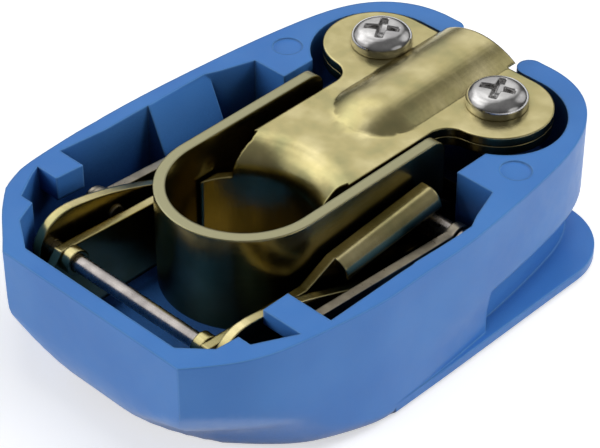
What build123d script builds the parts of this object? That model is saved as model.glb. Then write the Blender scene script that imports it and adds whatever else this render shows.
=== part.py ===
from build123d import *
from math import atan2, cos, degrees, hypot, pi, sin
import os

# Quick-release clamp for a battery post, lying on the closed face of its lever cover.
# Origin: axis of the post hole at the upper edge of the clamp band.
# +Y runs to the cable end, +Z out of the open side of the cover, X across it.

# ---- driving dimensions, mm ----
post_radius = 9.1
band_sheet = 1.4
band_height = 13.0
band_leg_end = 22.2
leg_end_round = 2.0
sheet = 1.2                      # all the other brass and steel plates
rim_z = -2.3                     # open edge of the cover
closed_z = -20.9                 # outer side of the closed face
floor_z = -18.9
wall = 2.1                       # moulded wall of the cover

# pivots as (y, z): fixed pivot, crank rivets on the lever, rear pin in the band
front_pin_yz = (-17.0, -7.3)
rivet_yz = (-7.7, -7.45)
rear_pin_yz = (17.8, -9.2)
front_pin_radius = 1.0
rivet_radius = 1.0
rear_pin_radius = 1.5
journal_radius = 1.1
running = 0.05                   # radial clearance of every turning fit
travel = 4.2                     # how far the rear pin slides in its slots
slot_play = 0.4

arm_x = 14.4                     # mid-planes of the three layers of plates
wall_x = 11.9
link_x = 16.4

plate_z = -1.2                   # upper face of the upper cable plate
screw_x = 9.3
screw_y = 32.9
ear_x = 9.6
ear_y = 32.6
ear_radius = 6.8
neck_round = 3.0
tongue_half = 7.6
tongue_front_half = 6.8
bend_radius = 4.0                # outer round between the tongue and the jaw
jaw_bottom = -13.6
wing_top = -5.2
wing_half = 8.7
plate_end = 39.4
channel_end = 40.8
channel_half = 5.6
upper_rise = 1.7
lower_rise = 3.4
arch_y = 22.4                    # where the straight run of the upper arch begins
trough_y = 28.6
screw_hole = 2.25

lower_top_z = plate_z - sheet
lower_bottom_z = plate_z - 2 * sheet
jaw_radius = post_radius + running
web_z = -15.8                    # underside of the bracket below the band
riser_y = 22.5                   # plate that joins the web to the lower cable plate
lip_front = (1.5, -4.8)          # top of the rolled lip as (y, z), front and rear
lip_rear = (17.3, -3.4)
lip_round = 2.0
groove_top_z = -12.5             # finger groove between the wall and the closed face
groove_y = 16.4
nose_y = -25.3
nose_radius = 10.4               # big round under the front of the cover
lip_end = 41.5
lip_half = 23.6
cavity_end = 41.0
wall_end = 44.3
gap_half = 4.8


# ---- cover: a moulded lever with a finger lip ----

# y, half width and radius of the lower edge, from the nose to the widest place
bow_stations = [
    (nose_y, 15.3, 12.6),
    (-21.4, 18.3, 12.0),
    (-17.0, 20.6, 9.8),
    (-12.0, 21.9, 6.4),
    (-7.0, 22.8, 3.8),
    (-2.5, 23.4, 2.0),
    (0.0, 23.5, 1.7),
]


def bow_section(y, half, radius, base_z):
    """Upright cross section of the cover with rounded lower corners."""
    reach = radius * 0.7071
    low = base_z + radius
    with BuildSketch(Plane.XZ.offset(-y)) as section:
        with BuildLine():
            Line((half, low), (half, rim_z))
            Line((half, rim_z), (-half, rim_z))
            Line((-half, rim_z), (-half, low))
            ThreePointArc((-half, low), (-half + radius - reach, low - reach), (-half + radius, base_z))
            Line((-half + radius, base_z), (half - radius, base_z))
            ThreePointArc((half - radius, base_z), (half - radius + reach, low - reach), (half, low))
        make_face()
    return section.sketch


def rear_outline(inset=0.0):
    """Outline of the cover behind its widest place, seen from above."""
    side = [
        (23.5 - inset, 0), (22.8 - inset, 15), (21.0 - inset, 30.2),
        (18.3 - 0.85 * inset, 38.7 - 0.5 * inset), (8.2, wall_end - inset),
    ]
    with BuildSketch() as section:
        with BuildLine():
            Line((0, 0), side[0])
            Spline(side, tangents=((0, 1), (-1, 0)))
            Line(side[-1], (0, side[-1][1]))
            mirror(about=Plane.YZ)
        make_face()
    return section.sketch


def nose_cut(radius, front, base_z):
    """Everything outside the big round under the nose, as a long prism."""
    centre_y = front + radius
    centre_z = base_z + radius
    with BuildPart() as cut:
        with BuildSketch(Plane.YZ):
            with BuildLine():
                CenterArc((centre_y, centre_z), radius, 180, 90)
                Polyline(
                    (centre_y, base_z), (centre_y, base_z - 6), (front - 6, base_z - 6),
                    (front - 6, centre_z), (front, centre_z),
                )
            make_face()
        extrude(amount=40, both=True)
    return cut.part


with BuildPart() as bow:
    for y, half, radius in bow_stations:
        add(bow_section(y, half, radius, closed_z))
    loft()
    add(nose_cut(nose_radius, nose_y, closed_z), mode=Mode.SUBTRACT)

# sloping fillings that keep the wall thick inside the rounded lower corners
with BuildPart() as corner_fill:
    for y, half, leg in ((nose_y, 13.6, 5.9), (-8.0, 21.8, 0.8)):
        with BuildSketch(Plane.XZ.offset(-y)):
            Polygon(
                (half + 2, floor_z - 1), (half + 2, floor_z + leg + 2), (half - leg - 1, floor_z - 1), align=None,
            )
    loft(ruled=True)

with BuildPart() as lip_plate:
    with BuildSketch(Plane.XY.offset(closed_z)) as lip_sketch:
        with BuildLine():
            Polyline(
                (0, 0), (bow_stations[-1][1], 0), (lip_half, 9.0), (lip_half, lip_end),
                (-lip_half, lip_end), (-lip_half, 9.0), (-bow_stations[-1][1], 0), (0, 0),
            )
        make_face()
        fillet(lip_sketch.vertices().group_by(Axis.Y)[-1], 9.0)
    extrude(amount=floor_z - closed_z)
    chamfer(lip_plate.faces().sort_by(Axis.Z)[0].edges().filter_by(lambda e: e.center().Y > 0.1), 0.8)

with BuildPart() as groove_wall:
    with BuildSketch(Plane.XY.offset(floor_z - 0.5)):
        add(rear_outline(1.5))
        with Locations((0, groove_y - 20.5)):
            Rectangle(60, 40, mode=Mode.SUBTRACT)
    extrude(amount=groove_top_z - floor_z + 1)

with BuildPart() as flank:
    with BuildSketch(Plane.XY.offset(floor_z)):
        add(rear_outline())
        with Locations((0, groove_y + 20)):
            Rectangle(60, 40, mode=Mode.SUBTRACT)
    extrude(amount=groove_top_z - floor_z)

with BuildPart() as room:
    with BuildSketch(Plane.XY.offset(floor_z)):
        with BuildLine():
            half = Polyline(
                (0, nose_y + wall), (12.6, nose_y + wall), (15.9, -20.3), (16.2, -17.3), (18.0, -17.3),
                (20.6, -12.4), (21.4, -8.6), (21.4, 4.0), (21.2, 14.0), (20.4, 15.8), (18.9, 20.4),
                (13.9, 20.4), (13.9, 37.0), (0, 37.0),
            )
            mirror(half, about=Plane.YZ)
        make_face()
    extrude(amount=rim_z - floor_z + 1)
    add(nose_cut(nose_radius - wall, nose_y + wall, floor_z), mode=Mode.SUBTRACT)
    add(corner_fill.part, mode=Mode.SUBTRACT)
    add(mirror(corner_fill.part, about=Plane.YZ), mode=Mode.SUBTRACT)
    # round pockets for the ears of the cable plates
    with BuildSketch(Plane.XY.offset(-11.6)):
        with Locations((ear_x, ear_y), (-ear_x, ear_y)):
            Circle(cavity_end - ear_y)
        with Locations((0, (25.0 + cavity_end) / 2)):
            Rectangle(2 * ear_x, cavity_end - 25.0)
    extrude(amount=13)

# bevelled pads on the inner sides of the walls
with BuildPart() as pad:
    with BuildSketch(Plane.XZ.offset(-4.7)):
        Polygon(
            (22.0, rim_z), (21.3, rim_z), (18.5, -9.0), (18.5, floor_z - 0.5), (22.0, floor_z - 0.5), align=None,
        )
    extrude(amount=-10.0)

with BuildPart() as housing:
    add(bow.part)
    with BuildSketch(Plane.XY.offset(groove_top_z)):
        add(rear_outline())
    extrude(amount=rim_z - groove_top_z)
    add(lip_plate.part)
    add(flank.part)
    add(groove_wall.part)
    add(room.part, mode=Mode.SUBTRACT)
    add(pad.part)
    add(mirror(pad.part, about=Plane.YZ))
    # cable gap in the rear wall, with rounded wall ends
    end_round = (wall_end - cavity_end) / 2
    end_y = (wall_end + cavity_end) / 2
    with BuildSketch(Plane.XY.offset(rim_z)):
        with Locations((0, end_y)):
            Rectangle(2 * (gap_half + end_round), 5.0)
        with Locations((gap_half + end_round, end_y), (-gap_half - end_round, end_y)):
            Circle(end_round, mode=Mode.SUBTRACT)
    extrude(amount=-5.5, mode=Mode.SUBTRACT)
    # clips that hold the lever bracket down, one reaching further than the other
    with BuildSketch(Plane.XY.offset(rim_z)):
        with Locations((18.4, -10.5)):
            Rectangle(6.8, 3.8)
    extrude(amount=-2.0)
    with BuildSketch(Plane.XY.offset(rim_z)):
        with Locations((-19.5, -10.5)):
            Rectangle(4.0, 3.8)
    extrude(amount=-3.2)
    # ejector marks on the rim
    with Locations((18.2, 25.4, rim_z), (-18.2, 25.4, rim_z)):
        Cylinder(1.85, 0.5, mode=Mode.SUBTRACT)
housing.part.label = "housing"
os.makedirs("parts", exist_ok=True)
export_step(housing.part, "parts/housing.step")


# ---- lever bracket: a brass channel inside the cover ----

def hole_along_x(centre, radius):
    """A long rod along X, for boring holes."""
    with BuildPart() as rod:
        with BuildSketch(Plane.YZ):
            with Locations(centre):
                Circle(radius)
        extrude(amount=30, both=True)
    return rod.part


with BuildPart() as lever_bracket:
    for side in (-1, 1):
        with BuildSketch(Plane.YZ.offset(side * arm_x - sheet / 2)) as arm:
            with BuildLine():
                Line((-19.4, floor_z), (-19.4, -3.1))
                Line((-19.4, -3.1), (-14.0, -3.1))
                Spline((-14.0, -3.1), (-9.3, -4.0), (0.2, -7.4), (7.0, -9.9), (19.6, -11.5))
                Line((19.6, -11.5), (19.6, floor_z))
                Line((19.6, floor_z), (-19.4, floor_z))
            make_face()
            fillet(arm.vertices().group_by(Axis.X)[0].sort_by(Axis.Y)[-1], 4.5)
            fillet(arm.vertices().group_by(Axis.X)[0].sort_by(Axis.Y)[0], 7.4)
        extrude(amount=sheet)
    with BuildSketch(Plane.XY.offset(floor_z)):
        with Locations((0, 9.8)):
            Rectangle(2 * arm_x + sheet, 19.6)
        with Locations((0, 23.3)):
            Rectangle(26.4, 7.4)
    extrude(amount=sheet)
    with BuildSketch(Plane.XZ.offset(-27.0)):
        with Locations((0, (floor_z - 10.5) / 2)):
            Rectangle(26.4, -10.5 - floor_z)
    extrude(amount=sheet)
    add(hole_along_x(front_pin_yz, front_pin_radius), mode=Mode.SUBTRACT)
    add(hole_along_x(rivet_yz, rivet_radius), mode=Mode.SUBTRACT)
lever_bracket.part.label = "lever_bracket"
export_step(lever_bracket.part, "parts/lever_bracket.step")


# ---- pins and rivets ----

def turned(profile, centre):
    """Round piece along X from (x, radius) steps, each step running to the next x."""
    with BuildPart() as piece:
        for (start, radius), step in zip(profile, profile[1:]):
            with BuildSketch(Plane.YZ.offset(start)):
                with Locations(centre):
                    Circle(radius)
            extrude(amount=step[0] - start)
    return piece.part


with BuildPart() as front_pin:
    outer = arm_x + sheet / 2
    end = outer + 0.9
    add(turned([(-end, 1.7), (-outer, front_pin_radius), (outer, 1.7), (end, 0)], front_pin_yz))
front_pin.part.label = "front_pin"
export_step(front_pin.part, "parts/front_pin.step")

rivet_steps = [
    (arm_x - 0.85, rivet_radius), (arm_x + 0.6, 1.5),
    (link_x - 0.75, rivet_radius), (link_x + 0.75, 1.7), (link_x + 1.3, 0),
]

with BuildPart() as pivot_rivet_right:
    add(turned(rivet_steps, rivet_yz))
pivot_rivet_right.part.label = "pivot_rivet_right"
export_step(pivot_rivet_right.part, "parts/pivot_rivet_right.step")

with BuildPart() as pivot_rivet_left:
    add(mirror(pivot_rivet_right.part, about=Plane.YZ))
pivot_rivet_left.part.label = "pivot_rivet_left"
export_step(pivot_rivet_left.part, "parts/pivot_rivet_left.step")

with BuildPart() as rear_pin:
    inner = link_x - 0.75
    outer = link_x + 0.75
    add(turned(
        [(-outer - 0.8, 1.6), (-outer, journal_radius), (-inner, rear_pin_radius),
         (inner, journal_radius), (outer, 1.6), (outer + 0.8, 0)],
        rear_pin_yz,
    ))
rear_pin.part.label = "rear_pin"
export_step(rear_pin.part, "parts/rear_pin.step")


# ---- links between the lever and the rear pin ----

link_waist = 2.6
link_end_radius = 1.9
span_y = rear_pin_yz[0] - rivet_yz[0]
span_z = rear_pin_yz[1] - rivet_yz[1]

with BuildPart() as link_right:
    with BuildSketch(Plane.YZ.offset(link_x - sheet / 2)):
        with Locations((rivet_yz[0] + span_y / 2, rivet_yz[1] + span_z / 2)):
            Rectangle(hypot(span_y, span_z), link_waist, rotation=degrees(atan2(span_z, span_y)))
        with Locations(rivet_yz, rear_pin_yz):
            Circle(link_end_radius)
        with Locations(rivet_yz):
            Circle(rivet_radius + running, mode=Mode.SUBTRACT)
        with Locations(rear_pin_yz):
            Circle(journal_radius + running, mode=Mode.SUBTRACT)
    extrude(amount=sheet)
link_right.part.label = "link_right"
export_step(link_right.part, "parts/link_right.step")

with BuildPart() as link_left:
    add(mirror(link_right.part, about=Plane.YZ))
link_left.part.label = "link_left"
export_step(link_left.part, "parts/link_left.step")


# ---- clamp band around the post ----

with BuildPart() as clamp_band:
    with BuildSketch(Plane.XY.offset(-band_height)):
        Circle(post_radius + band_sheet)
        with Locations((0, band_leg_end / 2)):
            Rectangle(2 * (post_radius + band_sheet), band_leg_end)
        Circle(post_radius, mode=Mode.SUBTRACT)
        with Locations((0, band_leg_end / 2)):
            Rectangle(2 * post_radius, band_leg_end, mode=Mode.SUBTRACT)
    extrude(amount=band_height)
    leg_ends = clamp_band.edges().filter_by(Axis.X).group_by(Axis.Y)[-1]
    fillet(leg_ends, leg_end_round)
    add(hole_along_x(rear_pin_yz, rear_pin_radius), mode=Mode.SUBTRACT)
clamp_band.part.label = "clamp_band"
export_step(clamp_band.part, "parts/clamp_band.step")


# ---- cable plates ----

def plate_outline(front_y):
    """Two round ears and the neck in front of them, seen from above."""
    with BuildSketch() as section:
        with Locations((ear_x, ear_y), (-ear_x, ear_y)):
            Circle(ear_radius)
        with Locations((0, (ear_y + plate_end) / 2)):
            Rectangle(2 * ear_x, plate_end - ear_y)
        with Locations((0, (front_y + ear_y) / 2)):
            Rectangle(2 * tongue_half, ear_y - front_y)
        corners = section.vertices().filter_by(lambda v: riser_y < v.Y < ear_y - 3 and abs(v.X) < ear_x)
        fillet(corners, neck_round)
    return section.sketch


def arch(half, height, front_y, end_y):
    """Straight run of a low arch standing on the plane z = 0."""
    with BuildPart() as bulge:
        with BuildSketch(Plane.XZ.offset(-front_y)):
            with BuildLine():
                Line((-half, 0), (half, 0))
                ThreePointArc((half, 0), (0, height), (-half, 0))
            make_face()
        extrude(amount=front_y - end_y)
    return bulge.part


def arch_head(half, height, y):
    """Domed front end of an arch: a piece of a ball."""
    radius = (half**2 + height**2) / (2 * height)
    with BuildPart() as dome:
        with Locations(Location((0, y, height - radius), (0, 90, 0))):
            Sphere(radius)
        with Locations((0, y - half, height / 2)):
            Box(2 * half + 2, 2 * half, height, mode=Mode.INTERSECT)
    return dome.part


def bend_points(centre, radius, first, last, steps):
    """Points along a bend, from one angle to the other in degrees."""
    angles = [(first + (last - first) * i / steps) * pi / 180 for i in range(steps + 1)]
    return [(centre[0] + radius * cos(a), centre[1] + radius * sin(a)) for a in angles]


def bent_tongue():
    """Jaw, bend and front of the tongue as one ring round the post axis."""
    centre = (jaw_radius + bend_radius, plate_z - bend_radius)
    outside = bend_points(centre, bend_radius, 180, 90, 6)
    inside = bend_points(centre, bend_radius - sheet, 90, 180, 5)
    end_r = centre[0] + 1.5
    with BuildPart() as ring:
        with BuildSketch(Plane.YZ):
            with BuildLine():
                Polyline(
                    (jaw_radius, jaw_bottom), *outside, (end_r, plate_z), (end_r, lower_top_z),
                    *inside, (jaw_radius + sheet, jaw_bottom), (jaw_radius, jaw_bottom),
                )
            make_face()
        revolve(axis=Axis.Z, revolution_arc=360)
        with BuildSketch(Plane.XY.offset(jaw_bottom - 1)):
            with BuildLine():
                edge = Polyline(
                    (0, 1.0), (tongue_front_half, 1.0), (tongue_front_half, 9.5), (tongue_half, 11.8),
                    (tongue_half, 16.0), (0, 16.0),
                )
                mirror(edge, about=Plane.YZ)
            make_face()
        extrude(amount=plate_z - jaw_bottom + 2, mode=Mode.INTERSECT)
    return ring.part


with BuildPart() as jaw_plate:
    with BuildSketch(Plane.XY.offset(lower_top_z)):
        add(plate_outline(10.0))
        Circle(jaw_radius + bend_radius, mode=Mode.SUBTRACT)
    extrude(amount=sheet)
    add(bent_tongue())
    # lower part of the jaw, wider than the tongue
    with BuildSketch(Plane.XY.offset(jaw_bottom)):
        with Locations((0, 7.0)):
            Rectangle(2 * wing_half, 10.0)
        Circle(jaw_radius + sheet, mode=Mode.INTERSECT)
        Circle(jaw_radius, mode=Mode.SUBTRACT)
    extrude(amount=wing_top - jaw_bottom)
    outer_arch = arch(channel_half, upper_rise, arch_y, channel_end)
    outer_head = arch_head(channel_half, upper_rise, arch_y)
    inner_half = channel_half - 0.9
    inner_arch = arch(inner_half, upper_rise, arch_y, channel_end + 1)
    inner_head = arch_head(inner_half, upper_rise, arch_y)
    add(outer_arch.moved(Location((0, 0, plate_z))))
    add(outer_head.moved(Location((0, 0, plate_z))))
    add(inner_arch.moved(Location((0, 0, lower_top_z))), mode=Mode.SUBTRACT)
    add(inner_head.moved(Location((0, 0, lower_top_z))), mode=Mode.SUBTRACT)
    with Locations((screw_x, screw_y), (-screw_x, screw_y)):
        Hole(screw_hole)
jaw_plate.part.label = "jaw_plate"
export_step(jaw_plate.part, "parts/jaw_plate.step")


# ---- base bracket: two walls, the web below the band and the lower cable plate ----

def lip_section(y, z):
    """Cross section of the right wall's lip, rolled outward over a quarter turn."""
    inner = wall_x - sheet / 2
    outer = wall_x + sheet / 2
    centre_z = z - lip_round
    with BuildSketch(Plane.XZ.offset(-y)) as section:
        with BuildLine():
            Line((inner, z), (outer, z))
            CenterArc((outer, centre_z), lip_round, 90, -90)
            Line((outer + lip_round, centre_z), (outer + lip_round - sheet, centre_z))
            CenterArc((outer, centre_z), lip_round - sheet, 0, 90)
            Polyline((outer, z - sheet), (inner, z - sheet), (inner, z))
        make_face()
    return section.sketch


with BuildPart() as lip_roll:
    add(lip_section(*lip_front))
    add(lip_section(*lip_rear))
    loft(ruled=True)

trough = arch(channel_half, lower_rise, trough_y, channel_end).mirror(Plane.XY)
trough_room = arch(channel_half - sheet, lower_rise, trough_y + sheet, channel_end + 1).mirror(Plane.XY)

with BuildPart() as base_bracket:
    with BuildSketch(Plane.XY.offset(lower_bottom_z)):
        add(plate_outline(riser_y))
    extrude(amount=sheet)
    add(trough.moved(Location((0, 0, lower_bottom_z))))
    add(trough_room.moved(Location((0, 0, lower_top_z))), mode=Mode.SUBTRACT)
    for side in (-1, 1):
        with BuildSketch(Plane.YZ.offset(side * wall_x - sheet / 2)) as cheek:
            with BuildLine():
                Polyline(
                    (-19.6, web_z), (-19.6, -7.6), (-18.2, -5.8), (-3.0, -6.8), lip_front, lip_rear,
                    (18.4, -6.0), (21.3, -8.0), (21.3, web_z), (-19.6, web_z),
                )
            make_face()
            fillet(cheek.vertices().group_by(Axis.X)[0].sort_by(Axis.Y)[0], 4.5)
            with Locations(front_pin_yz):
                Circle(front_pin_radius + running, mode=Mode.SUBTRACT)
            slot_mid = rear_pin_yz[0] - (travel - 2 * slot_play) / 2 - 0.1
            slot_width = 2 * (rear_pin_radius + slot_play)
            with Locations((slot_mid, rear_pin_yz[1])):
                SlotOverall(travel + slot_width - 0.4, slot_width, mode=Mode.SUBTRACT)
        extrude(amount=sheet)
    with BuildSketch(Plane.XY.offset(web_z)):
        with Locations((0, 10.15)):
            Rectangle(2 * wall_x + sheet, 22.3)
        with Locations((0, riser_y)):
            Rectangle(2 * tongue_half, 2 * sheet)
    extrude(amount=sheet)
    with BuildSketch(Plane.XY.offset(web_z)):
        with Locations((0, riser_y + sheet / 2)):
            Rectangle(2 * tongue_half, sheet)
    extrude(amount=lower_top_z - web_z)
    add(lip_roll.part)
    add(mirror(lip_roll.part, about=Plane.YZ))
    with Locations((screw_x, screw_y, lower_top_z), (-screw_x, screw_y, lower_top_z)):
        Hole(screw_hole)
base_bracket.part.label = "base_bracket"
export_step(base_bracket.part, "parts/base_bracket.step")


# ---- pivot collars inside the walls ----

collar_radius = 1.6
collar_length = 1.4


def collar(side):
    """Flanged bush round the front pin on the inner face of a wall."""
    inner = wall_x - sheet / 2
    start = inner - collar_length if side > 0 else -inner
    with BuildPart() as ring:
        with BuildSketch(Plane.YZ.offset(start)):
            with Locations(front_pin_yz):
                Circle(collar_radius)
                Circle(front_pin_radius + running, mode=Mode.SUBTRACT)
        extrude(amount=collar_length)
    return ring.part


with BuildPart() as collar_left:
    add(collar(-1))
collar_left.part.label = "collar_left"
export_step(collar_left.part, "parts/collar_left.step")

with BuildPart() as collar_right:
    add(collar(1))
collar_right.part.label = "collar_right"
export_step(collar_right.part, "parts/collar_right.step")


# ---- cable screws and nuts ----

head_radius = 3.8
head_height = 2.2


def cable_screw(x):
    """Cross recess pan head screw standing on the upper plate."""
    with BuildPart() as screw:
        with BuildSketch(Plane.XZ):
            Polygon(
                (0, 0), (head_radius, 0), (head_radius, 0.6), (3.55, 1.3), (3.0, 1.85), (2.2, head_height),
                (0, head_height), align=None,
            )
        revolve(axis=Axis.Z)
        with BuildSketch(Plane.XY):
            Circle(2.0)
        extrude(amount=-7.4)
        with BuildSketch(Plane.XY.offset(head_height)):
            Rectangle(4.4, 0.95, rotation=20)
            Rectangle(0.95, 4.4, rotation=20)
        extrude(amount=-1.3, mode=Mode.SUBTRACT)
    return screw.part.moved(Location((x, screw_y, plate_z)))


def square_nut(x):
    """Square nut under the lower plate."""
    with BuildPart() as nut:
        with BuildSketch(Plane.XY.offset(lower_bottom_z)):
            with Locations((x, screw_y)):
                Rectangle(7.0, 7.0)
                Circle(2.0, mode=Mode.SUBTRACT)
        extrude(amount=-3.2)
        chamfer(nut.faces().sort_by(Axis.Z)[0].outer_wire().edges(), 0.4)
    return nut.part


with BuildPart() as screw_left:
    add(cable_screw(-screw_x))
screw_left.part.label = "screw_left"
export_step(screw_left.part, "parts/screw_left.step")

with BuildPart() as screw_right:
    add(cable_screw(screw_x))
screw_right.part.label = "screw_right"
export_step(screw_right.part, "parts/screw_right.step")

with BuildPart() as nut_left:
    add(square_nut(-screw_x))
nut_left.part.label = "nut_left"
export_step(nut_left.part, "parts/nut_left.step")

with BuildPart() as nut_right:
    add(square_nut(screw_x))
nut_right.part.label = "nut_right"
export_step(nut_right.part, "parts/nut_right.step")
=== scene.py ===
import math

import bpy
import numpy as np
from mathutils import Matrix, Vector


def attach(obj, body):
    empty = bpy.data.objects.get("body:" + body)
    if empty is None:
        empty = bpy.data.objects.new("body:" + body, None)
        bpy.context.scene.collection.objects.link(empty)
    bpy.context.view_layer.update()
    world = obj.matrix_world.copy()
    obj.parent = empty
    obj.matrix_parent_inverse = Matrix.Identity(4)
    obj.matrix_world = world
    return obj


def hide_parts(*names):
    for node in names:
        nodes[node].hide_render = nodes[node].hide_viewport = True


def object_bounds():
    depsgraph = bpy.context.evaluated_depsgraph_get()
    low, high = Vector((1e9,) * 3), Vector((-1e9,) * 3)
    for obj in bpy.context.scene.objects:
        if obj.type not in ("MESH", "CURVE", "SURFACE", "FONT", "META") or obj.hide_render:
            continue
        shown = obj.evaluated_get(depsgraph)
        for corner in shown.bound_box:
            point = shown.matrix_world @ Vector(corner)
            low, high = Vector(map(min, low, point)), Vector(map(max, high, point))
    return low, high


# Looks of the quick-release battery clamp. Lengths are in metres, as in the frame, except where a
# note says millimetres.
mm = 0.001

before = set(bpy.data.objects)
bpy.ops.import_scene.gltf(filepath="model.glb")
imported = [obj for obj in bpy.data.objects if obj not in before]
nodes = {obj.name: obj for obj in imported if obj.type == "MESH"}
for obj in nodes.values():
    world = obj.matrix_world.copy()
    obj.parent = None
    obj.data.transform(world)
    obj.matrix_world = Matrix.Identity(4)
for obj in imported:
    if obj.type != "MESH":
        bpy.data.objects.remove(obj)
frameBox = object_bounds()
print("frame loaded:", len(nodes), "nodes")


# Helpers for shader trees. Noise mostly reads millimetres, so its scales are per millimetre.

toMillimetres = (1000, 1000, 1000)
softSamples = 8  # rays for each rounded edge and for each look into a corner


def feed(tree, node, inputs):
    # each input, by name or place, takes a link from a socket, or else a fixed value
    for key, value in inputs.items():
        socket = node.inputs[key]
        if isinstance(value, bpy.types.NodeSocket):
            tree.links.new(value, socket)
        elif socket.type == "RGBA":
            socket.default_value = (*value, 1)
        else:
            socket.default_value = value


def addNode(tree, kind, inputs=None, **settings):
    node = tree.nodes.new(kind)
    for key, value in settings.items():
        setattr(node, key, value)
    feed(tree, node, inputs or {})
    return node


def newMaterial(name):
    mat = bpy.data.materials.new(name)
    mat.use_nodes = True
    tree = mat.node_tree
    return mat, tree, tree.nodes["Principled BSDF"]


def objectSpace(tree, scale=toMillimetres):
    # object coordinates, scaled along each axis
    coord = addNode(tree, "ShaderNodeTexCoord")
    mapping = addNode(tree, "ShaderNodeMapping", {"Vector": coord.outputs["Object"], "Scale": scale})
    return mapping.outputs["Vector"]


def facing(tree, axis):
    # how far the surface faces along an object axis, -1 to 1
    coord = addNode(tree, "ShaderNodeTexCoord")
    split = addNode(tree, "ShaderNodeSeparateXYZ", {"Vector": coord.outputs["Normal"]})
    return split.outputs[axis]


def noise(tree, vector, scale, detail=2):
    inputs = {"Vector": vector, "Scale": scale, "Detail": detail}
    return addNode(tree, "ShaderNodeTexNoise", inputs).outputs["Fac"]


def ramp(tree, value, stops):
    # a colour by value, between stops of a value and its colour
    node = addNode(tree, "ShaderNodeValToRGB", {"Fac": value})
    elements = node.color_ramp.elements
    while len(elements) < len(stops):
        elements.new(0.5)  # its place is set below
    for element, (position, colour) in zip(elements, stops):
        element.position = position
        element.color = (*colour, 1)
    return node.outputs["Color"]


def span(tree, value, low, high, fromLow=0.3, fromHigh=0.7, interpolation="LINEAR"):
    # a value stretched from one range onto another; noise stays mostly between 0.3 and 0.7
    ranges = {"From Min": fromLow, "From Max": fromHigh, "To Min": low, "To Max": high}
    inputs = {"Value": value, **ranges}
    node = addNode(tree, "ShaderNodeMapRange", inputs, interpolation_type=interpolation)
    return node.outputs["Result"]


def calculate(tree, operation, first, second):
    return addNode(tree, "ShaderNodeMath", {0: first, 1: second}, operation=operation).outputs[0]


def dotProduct(tree, first, second):
    inputs = {0: first, 1: second}
    return addNode(tree, "ShaderNodeVectorMath", inputs, operation="DOT_PRODUCT").outputs["Value"]


def blend(tree, share, first, second):
    # from the first colour to the second by a share; a mix node has its colours in places 6 and 7
    node = addNode(tree, "ShaderNodeMix", {0: share, 6: first, 7: second}, data_type="RGBA")
    return node.outputs[2]


def roundedNormal(tree, edgeRadius):
    node = addNode(tree, "ShaderNodeBevel", {"Radius": edgeRadius}, samples=softSamples)
    return node.outputs["Normal"]


def relief(tree, height, look):
    # a height as bumps on top of softly rounded edges
    inputs = {
        "Height": height,
        "Strength": look["grainStrength"],
        "Distance": look["grainDepth"],
        "Normal": roundedNormal(tree, look["edgeRadius"]),
    }
    return addNode(tree, "ShaderNodeBump", inputs).outputs["Normal"]


def edgeLine(tree, width, cosines):
    # 1 along edges, where the rounded normal leaves the surface's own, 0 elsewhere
    own = addNode(tree, "ShaderNodeNewGeometry").outputs["Normal"]
    return span(tree, dotProduct(tree, roundedNormal(tree, width), own), 1.0, 0.0, *cosines)


def openness(tree, look):
    # 1 in the open, 0 deep in corners; the share by which painted shade is blended into a colour
    node = addNode(tree, "ShaderNodeAmbientOcclusion", {"Distance": look["reach"]}, samples=softSamples)
    return span(tree, node.outputs["AO"], 0.0, 1.0, *look["open"])


coverLook = {
    "colour": (0.070, 0.245, 0.650),
    "shade": (0.057, 0.215, 0.610),
    "flow": 0.09,
    "flowStops": (0.35, 0.65),
    # painted shade: colour in the cavities, how far around a point is looked, and the open shares it
    # fades between
    "paintedShade": (0.003, 0.018, 0.110),
    "reach": 22 * mm,
    "open": (0.10, 0.44),
    # painted highlight along edges: their width, the cosines where they are full and where they end,
    # and their share
    "edgeHighlightColour": (0.170, 0.390, 0.740),
    "edgeWidth": 0.28 * mm,
    "edgeCosines": (0.90, 0.995),
    "edgeHighlightShare": 0.6,
    "roughness": (0.34, 0.42),
    "patches": 0.6,
    "specular": 0.36,
    "ior": 1.5,
    "grain": 3.2,
    "grainStrength": 0.25,
    "grainDepth": 0.02 * mm,
    "edgeRadius": 0.45 * mm,
}


def coverPlastic():
    # moulded nylon: nearly even blue, faint flow marks and a fine moulded grain, with painted shade
    # (deeper blue in corners) and painted highlights along the edges
    look = coverLook
    mat, tree, shader = newMaterial("cover_plastic")
    where = objectSpace(tree)
    stops = list(zip(look["flowStops"], (look["shade"], look["colour"])))
    colour = ramp(tree, noise(tree, where, look["flow"]), stops)
    # painted highlight: a lighter blue blended in along rounded edges
    edges = edgeLine(tree, look["edgeWidth"], look["edgeCosines"])
    edges = calculate(tree, "MULTIPLY", edges, look["edgeHighlightShare"])
    colour = blend(tree, edges, colour, look["edgeHighlightColour"])
    feed(tree, shader, {
        # painted shade: the colour darkens towards a deep blue in corners and cavities
        "Base Color": blend(tree, openness(tree, look), look["paintedShade"], colour),
        "Roughness": span(tree, noise(tree, where, look["patches"]), *look["roughness"]),
        "Specular IOR Level": look["specular"],
        "IOR": look["ior"],
        "Normal": relief(tree, noise(tree, where, look["grain"], detail=3), look),
    })
    return mat


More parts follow.
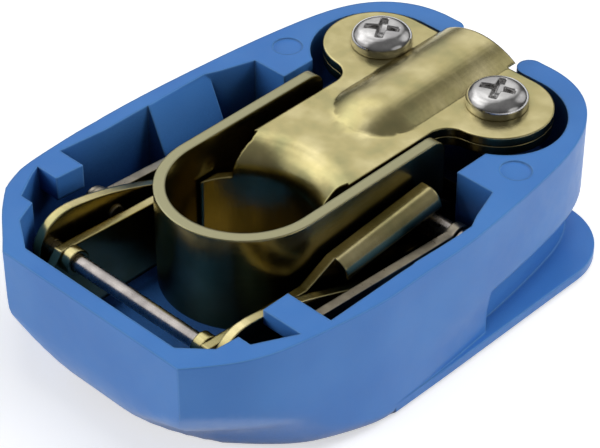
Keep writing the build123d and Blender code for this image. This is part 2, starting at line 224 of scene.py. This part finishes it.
brassLook = {
    "clouds": 0.16,
    "cloudStops": (
        (0.30, (0.38, 0.36, 0.17)),
        (0.48, (0.54, 0.47, 0.22)),
        (0.68, (0.74, 0.65, 0.35)),
    ),
    # painted shade in the corners: its colour, how far around a point is looked, and the open shares it
    # fades between
    "paintedShade": (0.16, 0.11, 0.03),
    "reach": 16 * mm,
    "open": (0.08, 0.75),
    # rolling streaks, as noise scales per metre along each axis
    "flatStreaks": (300, 4000, 300),
    "wrapStreaks": (200, 200, 5000),
    "roughness": (0.20, 0.27),
    # sheared upper edges of the band, and how far up a surface faces there
    "cut": (0.42, 0.40, 0.24),
    "cutRoughness": 0.42,
    "cutFacing": (0.80, 0.97),
    "shearGrain": 3.5,
    # upright lines on walls that face the front, with scales per metre
    "lineScale": (3500, 200, 150),
    "lineFacing": (-0.95, -0.80),
    "grain": 0.9,
    "grainStrength": 0.35,
    "grainDepth": 0.04 * mm,
    "edgeRadius": 0.35 * mm,
}


def brassSheet(name, streakScale, cutTop=False):
    # yellow passivated sheet: soft colour clouds, painted shade that darkens it in corners, faint
    # streaks along one axis
    look = brassLook
    mat, tree, shader = newMaterial(name)
    where = objectSpace(tree)
    colour = ramp(tree, noise(tree, where, look["clouds"], detail=3), look["cloudStops"])
    # painted shade: the brass darkens towards dark brown deep in corners
    colour = blend(tree, openness(tree, look), look["paintedShade"], colour)
    streaks = noise(tree, objectSpace(tree, streakScale), 1.0, detail=3)
    rough = span(tree, streaks, *look["roughness"])
    if cutTop:
        # sheared edges are duller, greyer and coarser
        part = span(tree, facing(tree, "Z"), 0.0, 1.0, *look["cutFacing"])
        colour = blend(tree, part, colour, look["cut"])
        dull = calculate(tree, "MULTIPLY", part, look["cutRoughness"])
        rough = calculate(tree, "MAXIMUM", rough, dull)
        marks = noise(tree, where, look["shearGrain"])
    else:
        part = span(tree, facing(tree, "Y"), 1.0, 0.0, *look["lineFacing"])
        marks = noise(tree, objectSpace(tree, look["lineScale"]), 1.0)
    marks = calculate(tree, "MULTIPLY", part, marks)
    height = calculate(tree, "ADD", noise(tree, where, look["grain"], detail=3), marks)
    feed(tree, shader, {
        "Base Color": colour,
        "Roughness": rough,
        "Metallic": 1.0,
        "Normal": relief(tree, height, look),
    })
    return mat


steelLook = {
    "light": (0.66, 0.65, 0.64),
    "dark": (0.44, 0.43, 0.43),
    "clouds": 0.5,
    "cloudStops": (0.35, 0.65),
    "patches": 1.4,
    "grain": 2.0,
    "grainStrength": 0.3,
    "grainDepth": 0.02 * mm,
    "edgeRadius": 0.2 * mm,
    "bright": {"roughness": (0.10, 0.20), "tint": (1, 1, 1)},
    "dull": {"roughness": (0.26, 0.42), "tint": (0.62, 0.56, 0.44)},
    "pin": {"roughness": (0.22, 0.34), "tint": (0.66, 0.62, 0.60)},
}


def steel(name, kind):
    # plated steel in soft clouds from dark to light, tinted by its kind
    look = steelLook
    mat, tree, shader = newMaterial(name)
    where = objectSpace(tree)
    tint = look[kind]["tint"]
    colours = [tuple(c * t for c, t in zip(look[shade], tint)) for shade in ("dark", "light")]
    stops = list(zip(look["cloudStops"], colours))
    patches = noise(tree, where, look["patches"], detail=3)
    feed(tree, shader, {
        "Base Color": ramp(tree, noise(tree, where, look["clouds"], detail=3), stops),
        "Roughness": span(tree, patches, *look[kind]["roughness"]),
        "Metallic": 1.0,
        "Normal": relief(tree, noise(tree, where, look["grain"], detail=3), look),
    })
    return mat


finishes = {
    "cover": coverPlastic(),
    "brassFlat": brassSheet("brass_plate", brassLook["flatStreaks"]),
    "brassWrap": brassSheet("brass_band", brassLook["wrapStreaks"], cutTop=True),
    "steelBright": steel("steel_screw", "bright"),
    "steelDull": steel("steel_link", "dull"),
    "steelPin": steel("steel_pin", "pin"),
}
nodeFinish = {
    "housing": "cover",
    "lever_bracket": "brassFlat", "jaw_plate": "brassFlat", "base_bracket": "brassFlat",
    "clamp_band": "brassWrap", "collar_left": "brassFlat", "collar_right": "brassFlat",
    "front_pin": "steelPin", "rear_pin": "steelPin",
    "nut_left": "steelDull", "nut_right": "steelDull",
    "link_left": "steelDull", "link_right": "steelDull",
    "pivot_rivet_left": "steelDull", "pivot_rivet_right": "steelDull",
}
for nodeName, finish in nodeFinish.items():
    mesh = nodes[nodeName].data
    mesh.materials.clear()
    mesh.materials.append(finishes[finish])
print("finishes set on the frame's nodes")


# Pieces made here. Their lengths are in millimetres until addPiece.

def addPiece(name, points, faces, finish, node, body):
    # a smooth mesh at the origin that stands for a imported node
    mesh = bpy.data.meshes.new(name)
    mesh.from_pydata((points * mm).tolist(), [], faces)
    mesh.shade_smooth()
    mesh.materials.append(finishes[finish])
    piece = bpy.data.objects.new(name, mesh)
    bpy.context.scene.collection.objects.link(piece)
    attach(piece, body)
    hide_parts(node)
    return piece


def smooth(value, low, high):
    # 0 up to low, 1 from high on, eased between
    t = np.clip((value - low) / (high - low), 0, 1)
    return t * t * (3 - 2 * t)


def fade(value, low, high):
    # 1 up to low, 0 from high on, eased between
    return smooth(-value, -high, -low)


def ringFaces(rows, columns):
    # quads between neighbouring rings of a grid, and fans to the two end points that follow it
    row, column = np.meshgrid(np.arange(rows - 1), np.arange(columns), indexing="ij")
    following = (column + 1) % columns
    quads = np.stack([
        row * columns + column, (row + 1) * columns + column,
        (row + 1) * columns + following, row * columns + following,
    ], -1).reshape(-1, 4)
    ends = np.arange(columns)
    nextEnds = (ends + 1) % columns
    top = np.column_stack([np.full(columns, rows * columns), ends, nextEnds])
    last = (rows - 1) * columns
    low = np.column_stack([np.full(columns, rows * columns + 1), last + nextEnds, last + ends])
    return quads.tolist() + top.tolist() + low.tolist()


screwLook = {
    "place": (9.3, 32.9, -1.2),
    "radius": 3.8,
    "side": 0.85,
    "height": 2.2,
    "shank": 1.98,
    "length": 7.4,
    # the crown's first ring as a share of the radius, and the two powers of its dome
    "crownStart": 0.03,
    "crownFall": 4.5,
    "crownEase": 0.62,
    "pitch": 0.7,
    "thread": 0.14,
    "threadStart": 1.0,
    # the cross, whose arms lose a share of their width and depth by their ends
    "armLength": 2.25,
    "armWidth": 0.52,
    "armTaper": 0.22,
    "armSoftness": 0.07,
    "armEndSoftness": 0.3,
    "recess": 1.35,
    "recessTaper": 0.5,
    "turns": {"screw_left": 0.55, "screw_right": 0.40},
    "columns": 160,
    "crownRings": 74,
    "sideRings": 5,
    "stepRings": 3,
    "shankRings": 109,
}


def screwProfile(look):
    # Radius and height of each ring, from the middle of the crown to the foot of the shank. The
    # dome is one less a power of the share of the radius, raised to a second power. The upright
    # side, the step in under the head and the shank follow.
    share = np.linspace(look["crownStart"], 1.0, look["crownRings"])
    dome = (1 - share ** look["crownFall"]) ** look["crownEase"]
    crown = look["side"] + (look["height"] - look["side"]) * dome
    side = np.linspace(look["side"], 0, look["sideRings"] + 1)[1:]
    step = np.linspace(look["radius"], look["shank"], look["stepRings"] + 1)[1:]
    shank = np.linspace(0, -look["length"], look["shankRings"] + 1)[1:]
    sideRadii = np.full(len(side), look["radius"])
    shankRadii = np.full(len(shank), look["shank"])
    radii = np.concatenate([look["radius"] * share, sideRadii, step, shankRadii])
    heights = np.concatenate([crown, side, np.zeros(len(step)), shank])
    return radii, heights


def armDepth(along, across, look):
    # how deep one arm of the cross is cut, by the distances along it and across it
    share = along / look["armLength"]
    width = look["armWidth"] * (1 - look["armTaper"] * share)
    inside = fade(across, width - look["armSoftness"], width + look["armSoftness"])
    inside = inside * fade(along, look["armLength"] - look["armEndSoftness"], look["armLength"])
    return inside * look["recess"] * (1 - look["recessTaper"] * share)


def panScrew(node, side):
    # The profile is turned round the screw's axis as a grid of rings. The crown is lowered by the
    # deeper of the cross's two arms, and the shank's radius follows a sine that climbs one pitch a
    # turn.
    look = screwLook
    radii, heights = screwProfile(look)
    around = np.linspace(0, 2 * math.pi, look["columns"], endpoint=False)
    radius, angle = np.meshgrid(radii, around, indexing="ij")
    height = np.repeat(heights[:, None], look["columns"], 1)
    crown = slice(0, look["crownRings"])
    armAngle = angle[crown] - look["turns"][node]
    along = np.abs(radius[crown] * np.cos(armAngle))
    across = np.abs(radius[crown] * np.sin(armAngle))
    height[crown] -= np.maximum(armDepth(along, across, look), armDepth(across, along, look))
    shank = slice(-look["shankRings"], None)
    wave = 0.5 + 0.5 * np.sin(2 * math.pi * height[shank] / look["pitch"] - angle[shank])
    radius[shank] -= look["thread"] * wave * fade(height[shank], -look["threadStart"], 0)
    rings = np.stack([radius * np.cos(angle), radius * np.sin(angle), height], -1).reshape(-1, 3)
    ends = np.array([[0, 0, look["height"] - look["recess"]], [0, 0, -look["length"]]])
    points = np.array(look["place"]) * (side, 1, 1) + np.concatenate([rings, ends])
    faces = ringFaces(len(radii), look["columns"])
    addPiece(node + "_dressed", points, faces, "steelBright", node, "terminal")


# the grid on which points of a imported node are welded, and the most rounds of splitting
copyLook = {"weld": 0.001, "rounds": 8}

# Corners of the triangles that stand for one with none, one, two or three split edges: 0 to 2 are
# its own corners, and 3 to 5 the middles of the edges that follow them.
splitPlans = (
    ((0, 1, 2),),
    ((0, 3, 2), (3, 1, 2)),
    ((3, 1, 4), (0, 3, 4), (0, 4, 2)),
    ((0, 3, 5), (3, 1, 4), (5, 4, 2), (3, 4, 5)),
)


def weldedTriangles(mesh):
    # points that share a place become one, and triangles that collapse are dropped
    mesh.calc_loop_triangles()
    points = np.empty(len(mesh.vertices) * 3)
    mesh.vertices.foreach_get("co", points)
    triangles = np.empty(len(mesh.loop_triangles) * 3, dtype=np.int64)
    mesh.loop_triangles.foreach_get("vertices", triangles)
    points = points.reshape(-1, 3) / mm
    places = np.round(points / copyLook["weld"]).astype(np.int64)
    _, first, where = np.unique(places, axis=0, return_index=True, return_inverse=True)
    triangles = where.reshape(-1)[triangles].reshape(-1, 3)
    a, b, c = triangles.T
    return points[first], triangles[(a != b) & (b != c) & (c != a)]


def splitLong(points, triangles, longest):
    # One round: every edge over the limit gets a point in its middle, and each triangle becomes
    # two, three or four by how many of its edges were split, turned so that the split edges lead.
    edges = np.sort(np.stack([triangles, np.roll(triangles, -1, 1)], -1).reshape(-1, 2), 1)
    unique, where = np.unique(edges, axis=0, return_inverse=True)
    apart = points[unique[:, 1]] - points[unique[:, 0]]
    long = np.linalg.norm(apart, axis=1) > longest
    middle = np.full(len(unique), -1)
    middle[long] = len(points) + np.arange(long.sum())
    points = np.concatenate([points, points[unique[long]].mean(1)])
    middle = middle[where.reshape(-1)].reshape(-1, 3)
    split = middle >= 0
    count = split.sum(1)
    # a single split edge is turned to the front; beside two, the whole edge is turned to the end
    turn = np.select([count == 1, count == 2], [split.argmax(1), (~split).argmax(1) + 1])
    order = (turn[:, None] + np.arange(3)) % 3
    corners = np.take_along_axis(triangles, order, 1)
    middles = np.take_along_axis(middle, order, 1)
    both = np.concatenate([corners, middles], 1)
    parts = []
    for splits, plan in enumerate(splitPlans):
        parts += [both[count == splits][:, chosen] for chosen in plan]
    return points, np.concatenate(parts), long.any()


def mergedCopy(node, name, body, look, move):
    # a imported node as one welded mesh, its long edges split, its points moved by a function, and
    # smooth shading across every edge below the crease angle
    points, triangles = weldedTriangles(nodes[node].data)
    for _ in range(copyLook["rounds"]):
        points, triangles, more = splitLong(points, triangles, look["longest"])
        if not more:
            break
    piece = addPiece(name, move(points), triangles.tolist(), nodeFinish[node], node, body)
    piece.data.set_sharp_from_angle(angle=math.radians(look["crease"]))
    even = piece.modifiers.new("even_normals", "WEIGHTED_NORMAL")
    even.keep_sharp = True
    print(name, "made:", len(triangles), "triangles")


shellLook = {
    "longest": 2.0,
    "crease": 28,
    # outline of the left front: y, the share by which x grows there, and the x where it sets in
    "bowY": (-25.3, -21.0, -17.5, -14.0, -11.6, -7.0, -2.0),
    "bowGrowth": (-0.17, -0.035, 0.045, 0.06, 0.05, 0.025, 0.0),
    "bowX": (-6, 0),
    # right rear wall: the share by which x grows, and where that sets in and ends
    "rearGrowth": 0.022,
    "rearX": (12, 18),
    "rearZ": (-16, -12),
    "rearStartY": (2, 14),
    "rearEndY": (30, 42),
    # the widest the cover may get, which is the frame's own width
    "halfWidth": frameBox[1].x / mm,
    # direction in which the lower front corners are pressed in, where it starts and how much
    "press": (0.433, -0.447, -0.783),
    "pressStart": 25.0,
    "pressSoftness": 0.6,
    "pressShare": 0.6,
    # a direction out of the corner in plan, and the distances along it where pressing sets in
    "cornerX": 0.6,
    "cornerY": -0.8,
    "cornerRange": (20.0, 25.0),
}


def shapeShell(v):
    # Three moves: the left front outline is scaled across by a table over y, the right rear wall
    # grows by a fixed share, and both lower front corners are pressed back along one slanted
    # direction by a share of how far they pass a start, weighted by how near the corner they are.
    look = shellLook
    x, y, z = v.T.copy()
    bow = np.interp(y, look["bowY"], look["bowGrowth"]) * fade(x, *look["bowX"])
    rear = look["rearGrowth"] * smooth(y, *look["rearStartY"]) * fade(y, *look["rearEndY"])
    rear = rear * smooth(z, *look["rearZ"]) * smooth(x, *look["rearX"])
    v[:, 0] = np.clip(x * (1 + bow + rear), -look["halfWidth"], look["halfWidth"])
    press = np.array(look["press"]) / np.linalg.norm(look["press"])
    outward = np.tile(press, (len(v), 1))
    outward[:, 0] *= np.sign(v[:, 0])
    beyond = np.clip((v * outward).sum(1) - look["pressStart"], 0, None)
    depth = look["pressShare"] * beyond**2 / (beyond + look["pressSoftness"])
    corner = look["cornerX"] * np.abs(v[:, 0]) + look["cornerY"] * y
    return v - outward * (smooth(corner, *look["cornerRange"]) * depth)[:, None]


plateLook = {
    "longest": 1.2,
    "crease": 44,
    # how far the jaw comes forward, and the y over which the plate behind it stretches
    "forward": 1.8,
    "stretch": (13.0, 17.5),
}


def shapePlate(v):
    # the jaw and its bend move forward as one, and the flat plate behind them stretches
    v[:, 1] -= plateLook["forward"] * fade(v[:, 1], *plateLook["stretch"])
    return v


mergedCopy("housing", "cover_shell", "lever", shellLook, shapeShell)
mergedCopy("jaw_plate", "cable_plate", "terminal", plateLook, shapePlate)
panScrew("screw_left", -1)
panScrew("screw_right", 1)
print("screws made")


# Floor, lights and camera, in metres again.

white = (1, 1, 1)

stageLook = {
    "floorZ": frameBox[0].z,  # the cover lies on the floor
    "floorSize": 6.0,
    "floorColour": (0.80, 0.80, 0.80),
    "floorRoughness": 0.9,
    "floorSpecular": 0.1,
    "floorGlow": 0.55,
    "fillLevel": 0.10,
}

# What metal and plastic mirror: a dim room that brightens with height, and soft panels, each a
# direction, the cosines where its soft edge starts and ends, and its brightness.
roomLook = {
    "low": 0.05,
    "high": 0.22,
    "rise": (0.0, 0.9),
    "panels": {
        "rearLeft": ((-0.60, 0.55, 0.58), 0.86, 0.97, 0.75),
        "rear": ((0.20, 0.85, 0.50), 0.90, 0.985, 0.70),
        "left": ((-0.88, -0.05, 0.50), 0.88, 0.98, 0.55),
        "frontLeft": ((-0.62, -0.62, 0.50), 0.84, 0.97, 0.65),
        "highLeft": ((-0.60, -0.28, 0.76), 0.86, 0.97, 0.70),
        "overLeft": ((-0.56, 0.14, 0.82), 0.88, 0.97, 0.60),
        "right": ((0.95, 0.15, 0.28), 0.92, 0.985, 0.55),
    },
}


def cameraRay(tree, path):
    # 1 for camera rays, also behind something clear
    camera, clear = path.outputs["Is Camera Ray"], path.outputs["Is Transmission Ray"]
    return calculate(tree, "MAXIMUM", camera, clear)


def makeFloor():
    # one square plane under the cover
    half = stageLook["floorSize"] / 2
    corners = np.array([[-half, -half], [half, -half], [half, half], [-half, half]])
    verts = np.column_stack([corners, np.full(4, stageLook["floorZ"])])
    mesh = bpy.data.meshes.new("floor")
    mesh.from_pydata(verts.tolist(), [], [(0, 1, 2, 3)])
    floor = bpy.data.objects.new("floor", mesh)
    bpy.context.scene.collection.objects.link(floor)
    # matt paper that the camera and mirrored rays see near white, with the shadow kept
    mat, tree, shader = newMaterial("floor_paper")
    path = addNode(tree, "ShaderNodeLightPath")
    seen = calculate(tree, "MAXIMUM", cameraRay(tree, path), path.outputs["Is Glossy Ray"])
    feed(tree, shader, {
        "Base Color": stageLook["floorColour"],
        "Roughness": stageLook["floorRoughness"],
        "Specular IOR Level": stageLook["floorSpecular"],
        "Emission Color": white,
        "Emission Strength": calculate(tree, "MULTIPLY", seen, stageLook["floorGlow"]),
    })
    mesh.materials.append(mat)
    return floor


floor = makeFloor()


def mirroredRoom(tree):
    # brightness by direction: a grade with height, and the soft panels added to it
    direction = addNode(tree, "ShaderNodeTexCoord").outputs["Generated"]
    upward = addNode(tree, "ShaderNodeSeparateXYZ", {"Vector": direction}).outputs["Z"]
    total = span(tree, upward, roomLook["low"], roomLook["high"], *roomLook["rise"])
    for middle, edge, core, level in roomLook["panels"].values():
        near = dotProduct(tree, direction, Vector(middle).normalized())
        panel = span(tree, near, 0.0, level, edge, core, "SMOOTHSTEP")
        total = calculate(tree, "ADD", total, panel)
    return total


def makeWorld():
    # even fill for matt surfaces, white to the camera, the room with panels for mirrored rays
    world = bpy.data.worlds.new("studio")
    bpy.context.scene.world = world
    world.use_nodes = True
    tree = world.node_tree
    tree.nodes.clear()
    fill, mirrored, plain = (
        addNode(tree, "ShaderNodeBackground", {"Color": white, "Strength": level}).outputs[0]
        for level in (stageLook["fillLevel"], mirroredRoom(tree), 1.0)
    )
    path = addNode(tree, "ShaderNodeLightPath")
    glossy, seen = path.outputs["Is Glossy Ray"], cameraRay(tree, path)
    light = addNode(tree, "ShaderNodeMixShader", {0: glossy, 1: fill, 2: mirrored}).outputs[0]
    light = addNode(tree, "ShaderNodeMixShader", {0: seen, 1: light, 2: plain}).outputs[0]
    addNode(tree, "ShaderNodeOutputWorld", {"Surface": light})


makeWorld()

# place, size and power of each lamp; all point at one place, and none shows in mirrored rays
lampTarget = Vector((0, 0.01, -0.01))
lamps = {
    "overhead": {"place": (0.04, 0.08, 0.60), "size": 0.45, "power": 1.2},
    "frontLeft": {"place": (-0.30, -0.55, 0.22), "size": 0.35, "power": 1.8},
    "rightLow": {"place": (0.62, -0.12, 0.20), "size": 0.35, "power": 0.75},
    "rearRight": {"place": (0.34, 0.42, 0.48), "size": 0.30, "power": 1.7},
}
for lampName, look in lamps.items():
    lamp = bpy.data.lights.new(lampName, "AREA")
    lamp.shape = "DISK"
    lamp.size = look["size"]
    lamp.energy = look["power"]
    holder = bpy.data.objects.new(lampName, lamp)
    spot = Vector(look["place"])
    holder.location = spot
    holder.rotation_euler = (lampTarget - spot).to_track_quat("-Z", "Y").to_euler()
    holder.visible_glossy = False
    bpy.context.scene.collection.objects.link(holder)
print("floor and lamps placed")

# angles in degrees; lens and sensor in millimetres
viewLook = {
    "azimuth": 44.10,
    "elevation": 38.46,
    "roll": -0.10,
    "lens": 138.51,
    "sensor": 36,
    "distance": 260.505 * mm,
    "sideways": -6.117 * mm,
    "upward": 4.654 * mm,
    "nearest": 0.01,
    "farthest": 50,
}


def makeCamera():
    # a camera on the view direction, shifted sideways and up so the frame falls where it should
    look = viewLook
    azimuth, elevation, roll = (math.radians(look[name]) for name in ("azimuth", "elevation", "roll"))
    back = Vector((
        math.sin(azimuth) * math.cos(elevation),
        -math.cos(azimuth) * math.cos(elevation),
        math.sin(elevation),
    ))
    level = Vector((math.cos(azimuth), math.sin(azimuth), 0))
    upright = back.cross(level)
    right = level * math.cos(roll) + upright * math.sin(roll)
    up = upright * math.cos(roll) - level * math.sin(roll)
    spot = back * look["distance"] - right * look["sideways"] - up * look["upward"]
    lens = bpy.data.cameras.new("camera")
    lens.sensor_width = look["sensor"]
    lens.sensor_fit = "HORIZONTAL"
    lens.lens = look["lens"]
    lens.clip_start = look["nearest"]
    lens.clip_end = look["farthest"]
    camera = bpy.data.objects.new("camera", lens)
    camera.matrix_world = Matrix((
        (right.x, up.x, back.x, spot.x),
        (right.y, up.y, back.y, spot.y),
        (right.z, up.z, back.z, spot.z),
        (0, 0, 0, 1),
    ))
    bpy.context.scene.collection.objects.link(camera)
    bpy.context.scene.camera = camera


makeCamera()
bpy.context.scene.view_settings.view_transform = "Standard"
print("camera set")
